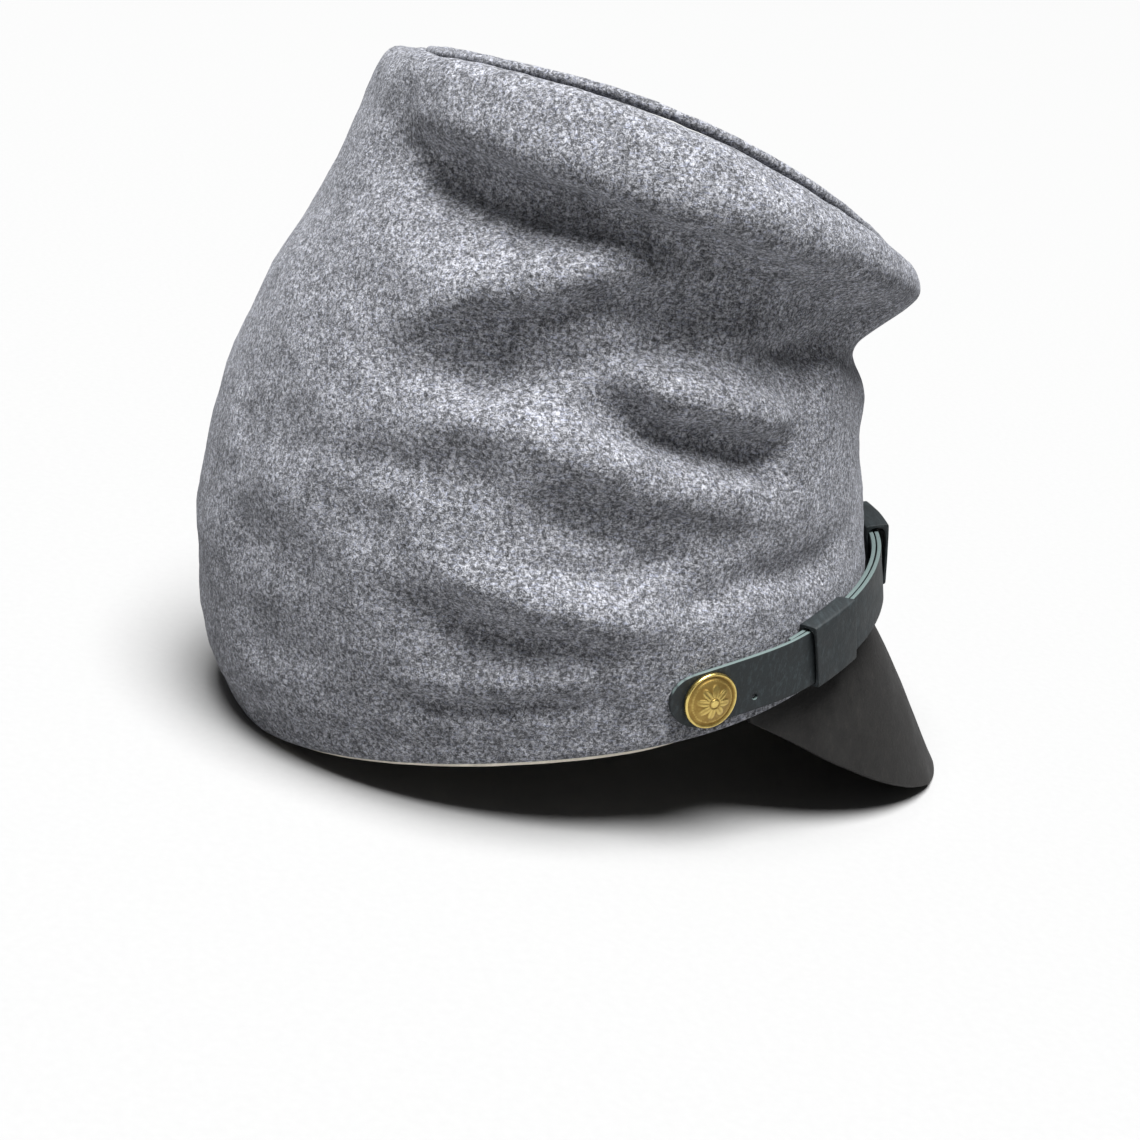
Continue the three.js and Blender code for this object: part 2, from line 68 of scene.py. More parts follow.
# The cap leans back as it rests. Its own frame has its origin in the middle of the hem.
REST_TILT = math.radians(15.13)
HEM_MIDDLE = Vector((0.492, 7.392, 26.709)) * MM
CLOTH_THICKNESS = 2.6 * MM
HEM_LINE = 6.5 * MM
STRAP_THICKNESS = 1.3 * MM
PEAK_THICKNESS = 2.2 * MM
BAND_THICKNESS = 1.2 * MM
BUTTON_RADIUS = 7.9 * MM
BUTTON_RIM = 0.9 * MM
BUTTON_EDGE = 1.5 * MM
BUTTON_BEND = 0.35 * MM
BUTTON_DOME = 3.6 * MM
SHANK_RADIUS = 1.5 * MM
BUTTON_RINGS = 44
BUTTON_SECTORS = 128
SMOOTH_LEVELS = 2

# Folds of the cloth on the side that the photograph shows: the wide ones from the top down, then the fine
# creases. Each path is read in the photograph's own pixels and cast onto the cloth. width is the half width
# and height is how far the fold stands out (less than nothing for a valley), both in millimetres.
FOLDS = (
    {"path_px": ((385, 104), (470, 134), (550, 160), (620, 186), (700, 206), (780, 236), (875, 276)),
     "width": 7.5, "height": 5.0},
    {"path_px": ((390, 140), (440, 172), (490, 194), (540, 212), (600, 228), (660, 248), (770, 284)),
     "width": 6.5, "height": -5.2},
    {"path_px": ((540, 300), (620, 312), (700, 326), (780, 338), (850, 345)), "width": 13.0, "height": -3.6},
    {"path_px": ((375, 336), (425, 314), (476, 298), (550, 282), (611, 268), (665, 268), (740, 286)),
     "width": 8.0, "height": 5.0},
    {"path_px": ((408, 346), (445, 364), (476, 371), (539, 368), (611, 352), (665, 338), (760, 334)),
     "width": 8.5, "height": -6.6},
    {"path_px": ((560, 384), (600, 404), (640, 428), (700, 450), (760, 460), (800, 486)),
     "width": 5.5, "height": -5.0},
    {"path_px": ((620, 372), (700, 402), (750, 412), (810, 428)), "width": 6.0, "height": 3.4},
    {"path_px": ((380, 400), (480, 420), (560, 448), (620, 472), (700, 498)), "width": 7.5, "height": 3.2},
    {"path_px": ((320, 462), (400, 466), (470, 476), (530, 494)), "width": 6.0, "height": -2.6},
    {"path_px": ((520, 506), (590, 532), (650, 552), (720, 560)), "width": 6.5, "height": -3.6},
    {"path_px": ((650, 606), (720, 596), (780, 576), (850, 560)), "width": 5.0, "height": -3.2},
    {"path_px": ((400, 556), (470, 580), (540, 606), (610, 626), (700, 636)), "width": 6.5, "height": 3.2},
    {"path_px": ((395, 612), (470, 634), (540, 650), (640, 662)), "width": 4.8, "height": -2.6},
    {"path_px": ((370, 676), (450, 682), (530, 684), (620, 682)), "width": 4.0, "height": 1.8},
    {"path_px": ((360, 700), (450, 710), (540, 711), (650, 702)), "width": 3.6, "height": -2.2},
    {"path_px": ((300, 500), (360, 520), (420, 520)), "width": 7.0, "height": -2.0},
    {"path_px": ((220, 520), (290, 560), (350, 596)), "width": 10.0, "height": -2.4},
    {"path_px": ((230, 430), (290, 440), (340, 420)), "width": 8.0, "height": -1.6},
    {"path_px": ((230, 620), (300, 652), (370, 664)), "width": 9.0, "height": -2.0},
    {"path_px": ((410, 122), (500, 160), (550, 186), (610, 208), (680, 230), (740, 254), (810, 292)),
     "width": 3.2, "height": -1.8},
    {"path_px": ((405, 330), (470, 316), (540, 318), (600, 308), (680, 306), (760, 322)),
     "width": 3.0, "height": -1.9},
    {"path_px": ((620, 420), (690, 438), (740, 442), (800, 466)), "width": 2.8, "height": -1.8},
    {"path_px": ((680, 350), (740, 364), (800, 352), (860, 320)), "width": 3.2, "height": -2.4},
    {"path_px": ((500, 562), (580, 576), (640, 572), (710, 556)), "width": 3.0, "height": -1.5},
    {"path_px": ((410, 606), (480, 624), (540, 640), (620, 652)), "width": 2.8, "height": -1.0},
    {"path_px": ((560, 500), (640, 514), (710, 532), (780, 536)), "width": 3.0, "height": -1.5},
)
# The side that the photograph does not show has like folds, a little lower and softer.
FAR_SHIFT = Vector((0.0, -3.0, -5.0)) * MM
FAR_SHARE = 0.6
FOLD_START, FOLD_END = 0.26, 0.72  # shares of its path between which a fold has its full height
FOLD_WANDER = 1.5 * MM
WANDER_LENGTH = 16 * MM
CROWN_RADIUS = 90 * MM
RUMPLE_ROUND, RUMPLE_UP = 30 * MM, 13 * MM
HEM_STIFF, HEM_FREE = 4 * MM, 12 * MM  # below the first height the hem has no folds, above the second all
STITCH_PULL = 0.3 * MM
STITCH_REACH = 2.2 * MM
STITCH_LENGTH = 3.5 * MM
CUT_EDGE_REACH = 0.35 * MM


class WoolSettings(bpy.types.PropertyGroup):
    """Sizes and colours of the wool cloth."""

    base: FloatVectorProperty(
        name="Grey", description="Mean colour of the wool", subtype="COLOR", size=3, default=(0.190, 0.193, 0.208)
    )
    fleck_size: FloatProperty(
        name="Fleck size", description="Size of the light and dark flecks", unit="LENGTH", default=1.0 * MM
    )
    rumple: FloatProperty(
        name="Rumple", description="Height of the small waves in the cloth", unit="LENGTH", default=0.5 * MM
    )


class LeatherSettings(bpy.types.PropertyGroup):
    """Sizes of the leather pieces."""

    strap_bevel: FloatProperty(
        name="Strap edge", description="Rounding of the strap's cut edges", unit="LENGTH", default=0.25 * MM
    )
    peak_bevel: FloatProperty(
        name="Peak edge", description="Rounding of the peak's burnished edge", unit="LENGTH", default=0.6 * MM
    )


class ButtonSettings(bpy.types.PropertyGroup):
    """Sizes of the stamped face of the buttons."""

    petals: IntProperty(name="Petals", description="Petals of the rosette", default=8)
    relief: FloatProperty(
        name="Relief", description="Height of the stamped relief", unit="LENGTH", default=0.34 * MM
    )


class StageSettings(bpy.types.PropertyGroup):
    """Light of the stage."""

    key_strength: FloatProperty(
        name="Overhead light", description="Strength of the light above, in watts a square metre", default=10.2
    )
    key_spread: FloatProperty(
        name="Overhead spread", description="Width of the light above, as an angle", subtype="ANGLE",
        default=math.radians(38),
    )
    fill_strength: FloatProperty(name="Fill light", description="Strength of the even light all round", default=0.1)


def colour(code):
    """Linear colour from an sRGB hex value."""
    parts = [int(code[i:i + 2], 16) / 255 for i in (1, 3, 5)]
    return (*(p / 12.92 if p <= 0.04045 else ((p + 0.055) / 1.055) ** 2.4 for p in parts), 1.0)


def add_node(tree, kind, fields=None, values=None, links=None):
    """Adds a node, sets its fields and input values and joins its inputs."""
    node = tree.nodes.new("ShaderNode" + kind)
    for name, value in (fields or {}).items():
        setattr(node, name, value)
    for name, value in (values or {}).items():
        node.inputs[name].default_value = value
    for name, source in (links or {}).items():
        tree.links.new(source, node.inputs[name])
    return node


def new_material(name):
    """Empty node material with its output, and the coordinates in millimetres."""
    material = bpy.data.materials.new(name)
    material.use_nodes = True
    tree = material.node_tree
    tree.nodes.clear()
    output = add_node(tree, "OutputMaterial")
    place = add_node(tree, "TexCoord")
    in_mm = add_node(tree, "Mapping", values={"Scale": (1 / MM, 1 / MM, 1 / MM)}, links={0: place.outputs["Object"]})
    return material, tree, output, in_mm.outputs[0]


def set_ramp(node, stops):
    """Gives a colour ramp its stops, as pairs of place and colour."""
    ramp = node.color_ramp
    while len(ramp.elements) > 1:
        ramp.elements.remove(ramp.elements[-1])
    ramp.elements[0].position, ramp.elements[0].color = stops[0]
    for place, shade in stops[1:]:
        ramp.elements.new(place).color = shade
    return node


def fulled_wool(settings):
    """Fulled heather-grey wool: dark, light and bluish fibres felted into soft mottling, matt with a short nap."""
    material, tree, output, place = new_material("fulled_heather_wool")
    size = settings.fleck_size / MM
    clouds = add_node(
        tree, "TexNoise", values={"Scale": 1 / 6, "Detail": 4.0, "Roughness": 0.7}, links={"Vector": place}
    )
    flecks = add_node(
        tree, "TexNoise", values={"Scale": 1 / size, "Detail": 3.0, "Roughness": 0.7, "Distortion": 0.6},
        links={"Vector": place},
    )
    specks = add_node(
        tree, "TexNoise", values={"Scale": 2.6 / size, "Detail": 2.0, "Roughness": 0.7}, links={"Vector": place}
    )
    strands = []
    for turn in ((0.4, 0.9, 0.2), (1.3, 0.2, 1.1)):
        turned = add_node(
            tree, "Mapping", values={"Rotation": turn, "Scale": (2.4 / size, 0.45 / size, 2.4 / size)},
            links={0: place},
        )
        strands.append(add_node(
            tree, "TexNoise", values={"Scale": 1.0, "Detail": 2.0, "Distortion": 0.8},
            links={"Vector": turned.outputs[0]},
        ).outputs["Fac"])
    crossed = add_node(tree, "Math", {"operation": "MAXIMUM"}, links={0: strands[0], 1: strands[1]})
    mixed = add_node(
        tree, "Math", {"operation": "MULTIPLY_ADD"}, {1: 0.5}, {0: crossed.outputs[0], 2: flecks.outputs["Fac"]}
    )
    speckled = add_node(
        tree, "Math", {"operation": "MULTIPLY_ADD"}, {1: 0.45}, {0: specks.outputs["Fac"], 2: mixed.outputs[0]}
    )
    grain = add_node(
        tree, "MapRange", values={"From Min": 0.66, "From Max": 1.36}, links={"Value": speckled.outputs[0]}
    )
    base = settings.base
    shade = set_ramp(
        add_node(tree, "ValToRGB", links={0: grain.outputs[0]}),
        (
            (0.12, (*(c * 0.10 for c in base), 1.0)),
            (0.42, (*(c * 0.55 for c in base), 1.0)),
            (0.58, (*(c * 1.30 for c in base), 1.0)),
            (0.90, (*(min(c * 2.6, 1.0) for c in base), 1.0)),
        ),
    )
    blue_mask = add_node(
        tree, "MapRange", values={"From Min": 0.52, "From Max": 0.66, "To Max": 0.55},
        links={"Value": strands[1]},
    )
    blue = add_node(
        tree, "Mix", {"data_type": "RGBA", "blend_type": "MULTIPLY"}, {7: colour("#c3cbe4")},
        {0: blue_mask.outputs[0], 6: shade.outputs[0]},
    )
    patches = add_node(
        tree, "MapRange", values={"From Min": 0.3, "From Max": 0.7, "To Min": 0.66, "To Max": 1.3},
        links={"Value": clouds.outputs["Fac"]},
    )
    cloudy = add_node(
        tree, "VectorMath", {"operation": "SCALE"}, links={0: blue.outputs[2], "Scale": patches.outputs[0]}
    )
    nap = add_node(
        tree, "Bump", values={"Strength": 0.55, "Distance": 0.35 * MM}, links={"Height": grain.outputs[0]}
    )
    felt = add_node(
        tree, "Bump", values={"Strength": 0.5, "Distance": 0.7 * MM},
        links={"Height": clouds.outputs["Fac"], "Normal": nap.outputs[0]},
    )
    cloth = add_node(
        tree, "BsdfPrincipled",
        values={
            "Roughness": 0.95, "IOR": 1.45, "Specular IOR Level": 0.15,
            "Sheen Weight": 0.12, "Sheen Roughness": 0.55, "Sheen Tint": colour("#d5d8e0"),
        },
        links={"Base Color": cloudy.outputs[0], "Normal": felt.outputs[0]},
    )
    tree.links.new(cloth.outputs[0], output.inputs["Surface"])
    return material


def harness_leather(name, face, wear_and_top_highlight, edge, roughness, grain_mm, bump):
    """Vegetable-tanned leather: pebbled grain with a waxed half-matt skin, and paler cut edges, with a painted
    highlight on the cut edges that face up.
    """
    material, tree, output, place = new_material(name)
    clouds = add_node(
        tree, "TexNoise", values={"Scale": 1 / 7, "Detail": 4.0, "Roughness": 0.65}, links={"Vector": place}
    )
    pebbles = add_node(
        tree, "TexVoronoi", {"feature": "SMOOTH_F1"}, {"Scale": 1 / grain_mm, "Smoothness": 0.6, "Randomness": 1.0},
        {"Vector": place},
    )
    pores = add_node(
        tree, "TexNoise", values={"Scale": 1.6 / grain_mm, "Detail": 3.0, "Roughness": 0.7}, links={"Vector": place}
    )
    scuffs_turned = add_node(
        tree, "Mapping", values={"Rotation": (0.2, 0.5, 0.9), "Scale": (0.08, 0.9, 0.35)}, links={0: place}
    )
    scuffs = add_node(
        tree, "TexNoise", values={"Scale": 1.0, "Detail": 5.0, "Roughness": 0.7},
        links={"Vector": scuffs_turned.outputs[0]},
    )
    wear = add_node(
        tree, "MapRange", values={"From Min": 0.5, "From Max": 0.75}, links={"Value": scuffs.outputs["Fac"]}
    )
    mottled = add_node(
        tree, "MapRange", values={"From Min": 0.3, "From Max": 0.7, "To Min": 0.78, "To Max": 1.25},
        links={"Value": clouds.outputs["Fac"]},
    )
    skin = add_node(
        tree, "Mix", {"data_type": "RGBA"}, {6: colour(face), 7: colour(wear_and_top_highlight)}, {0: wear.outputs[0]}
    )
    toned = add_node(
        tree, "VectorMath", {"operation": "SCALE"}, links={0: skin.outputs[2], "Scale": mottled.outputs[0]}
    )
    rim = add_node(tree, "Attribute", {"attribute_name": "cut_edge_and_highlight"})
    rim_noise = add_node(
        tree, "Math", {"operation": "MULTIPLY_ADD"}, {1: 0.5, 2: -0.25}, {0: pores.outputs["Fac"]}
    )
    rim_sum = add_node(tree, "Math", links={0: rim.outputs["Fac"], 1: rim_noise.outputs[0]})
    # Paler cut edges, with a painted highlight where they face up.
    edge_and_highlight_mask = add_node(
        tree, "MapRange", values={"From Min": 0.35, "From Max": 0.75}, links={"Value": rim_sum.outputs[0]}
    )
    painted = add_node(
        tree, "Mix", {"data_type": "RGBA"}, {7: colour(edge)}, {0: edge_and_highlight_mask.outputs[0], 6: toned.outputs[0]}
    )
    height = add_node(
        tree, "Math", {"operation": "MULTIPLY_ADD"}, {1: 0.6},
        {0: pores.outputs["Fac"], 2: pebbles.outputs["Distance"]},
    )
    gloss = add_node(
        tree, "MapRange",
        values={"From Min": 0.3, "From Max": 0.7, "To Min": roughness - 0.08, "To Max": roughness + 0.12},
        links={"Value": clouds.outputs["Fac"]},
    )
    grain = add_node(
        tree, "Bump", values={"Strength": 0.5, "Distance": bump * MM}, links={"Height": height.outputs[0]}
    )
    leather = add_node(
        tree, "BsdfPrincipled", values={"IOR": 1.5, "Specular IOR Level": 0.36},
        links={"Base Color": painted.outputs[2], "Roughness": gloss.outputs[0], "Normal": grain.outputs[0]},
    )
    tree.links.new(leather.outputs[0], output.inputs["Surface"])
    return material


def gilt_brass():
    """Stamped brass, gilt and handled: bright on the raised parts, brown tarnish in the low parts."""
    material, tree, output, place = new_material("stamped_gilt_brass")
    tarnish = add_node(
        tree, "TexNoise", values={"Scale": 1 / 1.6, "Detail": 4.0, "Roughness": 0.65}, links={"Vector": place}
    )
    low = add_node(tree, "Attribute", {"attribute_name": "stamped_low"})
    spots = add_node(
        tree, "MapRange", values={"From Min": 0.45, "From Max": 0.75, "To Max": 0.5},
        links={"Value": tarnish.outputs["Fac"]},
    )
    dirt = add_node(tree, "Math", {"use_clamp": True}, links={0: low.outputs["Fac"], 1: spots.outputs[0]})
    gold = add_node(
        tree, "Mix", {"data_type": "RGBA"}, {6: colour("#e3ca7a"), 7: colour("#957a42")}, {0: dirt.outputs[0]}
    )
    rub = add_node(tree, "MapRange", values={"To Min": 0.26, "To Max": 0.5}, links={"Value": dirt.outputs[0]})
    dents = add_node(
        tree, "Bump", values={"Strength": 0.25, "Distance": 0.08 * MM}, links={"Height": tarnish.outputs["Fac"]}
    )
    brass = add_node(
        tree, "BsdfPrincipled", values={"Metallic": 1.0},
        links={"Base Color": gold.outputs[2], "Roughness": rub.outputs[0], "Normal": dents.outputs[0]},
    )
    tree.links.new(brass.outputs[0], output.inputs["Surface"])
    return material


def studio_paper():
    """Matt white paper sweep: a soft floor that shows only the cap's shade."""
    material, tree, output, place = new_material("white_paper_sweep")
    fibre = add_node(tree, "TexNoise", values={"Scale": 1 / 2.5, "Detail": 4.0}, links={"Vector": place})
    tone = add_node(
        tree, "Mix", {"data_type": "RGBA"}, {6: colour("#939393"), 7: colour("#979797")},
        {0: fibre.outputs["Fac"]},
    )
    paper = add_node(
        tree, "BsdfPrincipled", values={"Roughness": 0.9, "Specular IOR Level": 0.1},
        links={"Base Color": tone.outputs[2]},
    )
    tree.links.new(paper.outputs[0], output.inputs["Surface"])
    return material


def finish_of(name, make, *args):
    """The material of that name, made at its first use."""
    return bpy.data.materials.get(name) or make(*args)


def wool():
    return finish_of("fulled_heather_wool", fulled_wool, bpy.context.scene.cap_wool)


def strap_leather():
    return finish_of(
        "waxed_strap_leather", harness_leather,
        "waxed_strap_leather", "#1a1f21", "#30383b", "#586564", 0.62, 0.7, 0.10,
    )


def peak_leather():
    return finish_of(
        "waxed_peak_leather", harness_leather,
        "waxed_peak_leather", "#100f0e", "#1a1816", "#1c1916", 0.62, 0.9, 0.12,
    )


def band_leather():
    return finish_of(
        "undyed_sheepskin", harness_leather,
        "undyed_sheepskin", "#d9d2c2", "#e6e0d2", "#e2ddd0", 0.6, 1.1, 0.12,
    )


def read_points(mesh):
    """Vertex places and normals of a mesh, one row each."""
    points = np.empty(len(mesh.vertices) * 3)
    normals = np.empty(len(mesh.vertices) * 3)
    mesh.vertices.foreach_get("co", points)
    mesh.vertices.foreach_get("normal", normals)
    return points.reshape(-1, 3), normals.reshape(-1, 3)


def write_points(mesh, points):
    """Puts places back into a mesh, with none below the floor."""
    points[:, 2] = np.maximum(points[:, 2], 0.0)
    mesh.vertices.foreach_set("co", points.ravel())
    mesh.update()


def join_into_quads(bm):
    """Joins each pair of triangles across the edge that is the longest of both."""
    bmesh.ops.remove_doubles(bm, verts=bm.verts, dist=0.001 * MM)
    bm.faces.index_update()
    bm.edges.index_update()
    longest = {face.index: max(face.edges, key=lambda edge: edge.calc_length()).index for face in bm.faces}
    flat_turn = math.radians(35)
    diagonals = [
        edge for edge in bm.edges
        if len(edge.link_faces) == 2
        and all(longest[face.index] == edge.index for face in edge.link_faces)
        and edge.calc_face_angle() < flat_turn
    ]
    bmesh.ops.dissolve_edges(bm, edges=diagonals, use_verts=False)


def dressed_copy(node, name, bevel=0.0):
    """Own object with a node's surface, in quads, with bevelled edges where asked, subdivided smooth."""
    mesh = bpy.data.meshes.new(name)
    bm = bmesh.new()
    bm.from_mesh(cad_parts[node].data)
    join_into_quads(bm)
    for face in bm.faces:
        face.smooth = True
        face.material_index = 0
    bm.to_mesh(mesh)
    bm.free()
    mesh.materials.clear()
    piece = bpy.data.objects.new(name, mesh)
    bpy.context.scene.collection.objects.link(piece)
    if bevel:
        rounded = piece.modifiers.new("rounded edges", "BEVEL")
        rounded.width = bevel
        rounded.segments = 2
        rounded.limit_method = "ANGLE"
        rounded.angle_limit = math.radians(40)
    smooth = piece.modifiers.new("smooth", "SUBSURF")
    smooth.levels = SMOOTH_LEVELS
    apply_modifiers(piece)
    return piece


def apply_modifiers(piece):
    """Puts the modifiers' result into the piece's mesh."""
    shape = piece.evaluated_get(bpy.context.evaluated_depsgraph_get())
    made = bpy.data.meshes.new_from_object(shape)
    piece.modifiers.clear()
    old = piece.data
    piece.data = made
    made.name = piece.name
    bpy.data.meshes.remove(old)


def declare(piece, node, material):
    """Gives a piece its finish and its body, and hides the node that it stands for."""
    piece.data.materials.clear()
    piece.data.materials.append(material)
    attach(piece, BODY)
    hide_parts(node)


def smooth_between(value, start, end):
    """0 before start and 1 after end, with a soft change between."""
    share = np.clip((value - start) / (end - start), 0.0, 1.0)
    return share * share * (3 - 2 * share)


def cap_frame(points):
    """Places in the cap's own frame: x to the left, y to the back, z up from the middle of the hem."""
    moved = points - np.array(HEM_MIDDLE)
    c, s = math.cos(REST_TILT), math.sin(REST_TILT)
    return np.stack([moved[:, 0], moved[:, 1] * c - moved[:, 2] * s, moved[:, 1] * s + moved[:, 2] * c], axis=1)


def outward(points, normals):
    """Direction out of the cloth at each vertex, and which vertices lie on its inner side."""
    local = cap_frame(points)
    height = local[:, 2]
    bins = np.linspace(height.min(), height.max(), 24)
    which = np.clip(np.digitize(height, bins) - 1, 0, len(bins) - 2)
    middles = np.array([points[which == i].mean(axis=0) for i in range(len(bins) - 1)])
    at = (bins[:-1] + bins[1:]) / 2
    centre = np.stack([np.interp(height, at, middles[:, k]) for k in range(3)], axis=1)
    inner = np.einsum("ij,ij->i", normals, points - centre) < 0
    return np.where(inner[:, None], -normals, normals), inner


def waves(points, sizes, octaves=2):
    """Smooth noise of about -1 to 1 at each point. sizes are its wavelengths along the three axes."""
    scaled = points / np.array(sizes)
    return np.array([noise.fractal(Vector(p), 0.8, 2.0, octaves) for p in scaled])


def photo_ray(pixel):
    """Direction from the camera through a pixel of the photograph."""
    focal = CAMERA_LENS / SENSOR_WIDTH * IMAGE_WIDTH
    ahead = CAMERA_UP.cross(CAMERA_RIGHT)
    across = (pixel[0] - IMAGE_WIDTH / 2) / focal
    up = (IMAGE_WIDTH / 2 - pixel[1]) / focal
    return (ahead + CAMERA_RIGHT * across + CAMERA_UP * up).normalized()


def cast_path(surface, path_px):
    """The path's points on the cloth, about 3 mm apart."""
    places = []
    for start, end in zip(path_px, path_px[1:]):
        steps = max(2, int(math.dist(start, end) / 10))
        for i in range(steps):
            share = i / steps
            pixel = [a + (b - a) * share for a, b in zip(start, end)]
            hit = surface.ray_cast(CAMERA_PLACE, photo_ray(pixel))[0]
            if hit is not None:
                places.append(hit)
    return np.array(places)


def fold_height(points, path, width, height):
    """Height that one fold gives the cloth: a soft ridge or valley, run out at both ends."""
    nearest = np.full(len(points), np.inf)
    along = np.zeros(len(points))
    lengths = np.linalg.norm(np.diff(path, axis=0), axis=1)
    total = lengths.sum()
    walked = 0.0
    for start, end, length in zip(path, path[1:], lengths):
        stretch = end - start
        share = np.clip((points - start) @ stretch / max(length * length, 1e-12), 0, 1)
        gap = np.linalg.norm(points - start - share[:, None] * stretch, axis=1)
        closer = gap < nearest
        nearest = np.where(closer, gap, nearest)
        along = np.where(closer, (walked + share * length) / total, along)
        walked += length
    ends = smooth_between(along, 0.0, FOLD_START) * (1 - smooth_between(along, FOLD_END, 1.0))
    return np.exp(-(nearest / (width * MM)) ** 2) * height * MM * ends


def dress_cloth(piece, rumple, folds):
    """Moves both sides of the crown together into folds and small waves."""
    points, normals = read_points(piece.data)
    out, inner = outward(points, normals)
    sample = points + np.where(inner[:, None], out * CLOTH_THICKNESS, 0.0)
    local = cap_frame(sample)
    around = np.arctan2(local[:, 0], -local[:, 1])
    ring = np.stack([np.cos(around), np.sin(around)], axis=1) * CROWN_RADIUS
    unrolled = np.column_stack([ring, local[:, 2]])
    height = rumple * waves(unrolled, (RUMPLE_ROUND, RUMPLE_ROUND, RUMPLE_UP), 3)
    surface = BVHTree.FromObject(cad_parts["crown_body"], bpy.context.evaluated_depsgraph_get())
    wobble = np.stack([waves(sample + shift, (WANDER_LENGTH,) * 3) for shift in (0.0, 0.3, 0.7)], axis=1)
    wandering = sample + wobble * FOLD_WANDER
    for fold in folds:
        path = cast_path(surface, fold["path_px"])
        height += fold_height(wandering, path, fold["width"], fold["height"])
        far_path = np.array([surface.find_nearest((-x, y, z))[0] for x, y, z in path + FAR_SHIFT])
        height += FAR_SHARE * fold_height(wandering, far_path, fold["width"], fold["height"])
    height *= smooth_between(local[:, 2], HEM_STIFF, HEM_FREE)
    seam = np.exp(-((local[:, 2] - HEM_LINE) / STITCH_REACH) ** 2)
    height -= STITCH_PULL * seam * (1 + waves(sample, (STITCH_LENGTH,) * 3))
    write_points(piece.data, points + out * height[:, None])


def roughen(piece, height, size):
    """Moves the skin of a piece in and out a little, so that no face is dead flat."""
    points, normals = read_points(piece.data)
    write_points(piece.data, points + normals * (waves(points, (size,) * 3) * height)[:, None])


class CAP_OT_crown(bpy.types.Operator):
    """Dresses the wool crown, its round top and the piping on the seam"""

    bl_idname = "cap.crown"
    bl_label = "Wool crown"

    def execute(self, context):
        rumple = context.scene.cap_wool.rumple
        crown = dressed_copy("crown_body", "wool_crown")
        dress_cloth(crown, rumple, FOLDS)
        declare(crown, "crown_body", wool())
        top = dressed_copy("crown_top", "wool_round_top")
        declare(top, "crown_top", wool())
        welt = dressed_copy("top_welt", "wool_piping")
        roughen(welt, 0.25 * MM, 7 * MM)
        declare(welt, "top_welt", wool())
        return {"FINISHED"}


def mark_cut_edges(piece, node, thickness):
    """Marks on the piece how near each vertex is to the narrow cut sides of a sheet: the paler edge colour, with a
    painted highlight that makes the mark strongest where they face up.
    """
    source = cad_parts[node]
    mesh = source.data
    whole = BVHTree.FromObject(source, bpy.context.evaluated_depsgraph_get())
    corners = [vertex.co.copy() for vertex in mesh.vertices]
    narrow = []
    for face in mesh.polygons:
        start = face.center - face.normal * 0.01 * MM
        distance = whole.ray_cast(start, -face.normal)[3]
        if distance is None or distance > 1.8 * thickness:
            narrow.append(tuple(face.vertices))
    rims = BVHTree.FromPolygons(corners, narrow)
    near = []
    for vertex in piece.data.vertices:
        _, facing, _, distance = rims.find_nearest(vertex.co)
        # Painted highlight: cut sides that face up get more of the pale edge colour than those that face down.
        wear_and_top_highlight = smooth_between(facing.z, -0.2, 0.6)
        near.append(float(np.clip(1 - distance / CUT_EDGE_REACH, 0, 1) * (0.3 + 0.7 * wear_and_top_highlight)))
    marks = piece.data.attributes.new("cut_edge_and_highlight", "FLOAT", "POINT")
    marks.data.foreach_set("value", near)


class CAP_OT_sweatband(bpy.types.Operator):
    """Dresses the sheepskin sweatband"""

    bl_idname = "cap.sweatband"
    bl_label = "Sweatband"

    def execute(self, context):
        band = dressed_copy("sweatband", "leather_sweatband", bevel=0.3 * MM)
        mark_cut_edges(band, "sweatband", BAND_THICKNESS)
        roughen(band, 0.1 * MM, 9 * MM)
        declare(band, "sweatband", band_leather())
        return {"FINISHED"}


class CAP_OT_peak(bpy.types.Operator):
    """Dresses the leather peak"""

    bl_idname = "cap.peak"
    bl_label = "Peak"

    def execute(self, context):
        peak = dressed_copy("peak", "leather_peak", bevel=context.scene.cap_leather.peak_bevel)
        mark_cut_edges(peak, "peak", PEAK_THICKNESS)
        roughen(peak, 0.15 * MM, 12 * MM)
        declare(peak, "peak", peak_leather())
        return {"FINISHED"}


class CAP_OT_straps(bpy.types.Operator):
    """Dresses both halves of the chin strap and their keepers"""

    bl_idname = "cap.straps"
    bl_label = "Chin strap"

    def execute(self, context):
        bevel = context.scene.cap_leather.strap_bevel
        for node, name in (
            ("strap_right", "chin_strap_right"), ("strap_left", "chin_strap_left"),
            ("keeper_right", "strap_keeper_right"), ("keeper_left", "strap_keeper_left"),
        ):
            piece = dressed_copy(node, name, bevel=bevel)
            mark_cut_edges(piece, node, STRAP_THICKNESS)
            roughen(piece, 0.08 * MM, 8 * MM)
            declare(piece, node, strap_leather())
        return {"FINISHED"}


def button_frame(node):
    """Middle of a button's back, its outward direction and two directions across it."""
    points = np.unique(np.round(read_points(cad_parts[node].data)[0], 6), axis=0)
    spread = points - points.mean(axis=0)
    values, axes = np.linalg.eigh(spread.T @ spread)
    gaps = [abs(values[1] - values[2]), abs(values[0] - values[2]), abs(values[0] - values[1])]
    axis = axes[:, int(np.argmin(gaps))]
    if axis[0] * points.mean(axis=0)[0] < 0:
        axis = -axis
    depth = points @ axis
    radial = points - np.outer(depth, axis)
    middle = (radial.max(axis=0) + radial.min(axis=0)) / 2
    wide = np.linalg.norm(radial - middle, axis=1) > SHANK_RADIUS * 2
    back = depth[wide].min()
    up = np.array([0.0, 0.0, 1.0]) - axis[2] * axis
    up /= np.linalg.norm(up)
    return middle + axis * back, axis, up, np.cross(up, axis), back - depth.min()


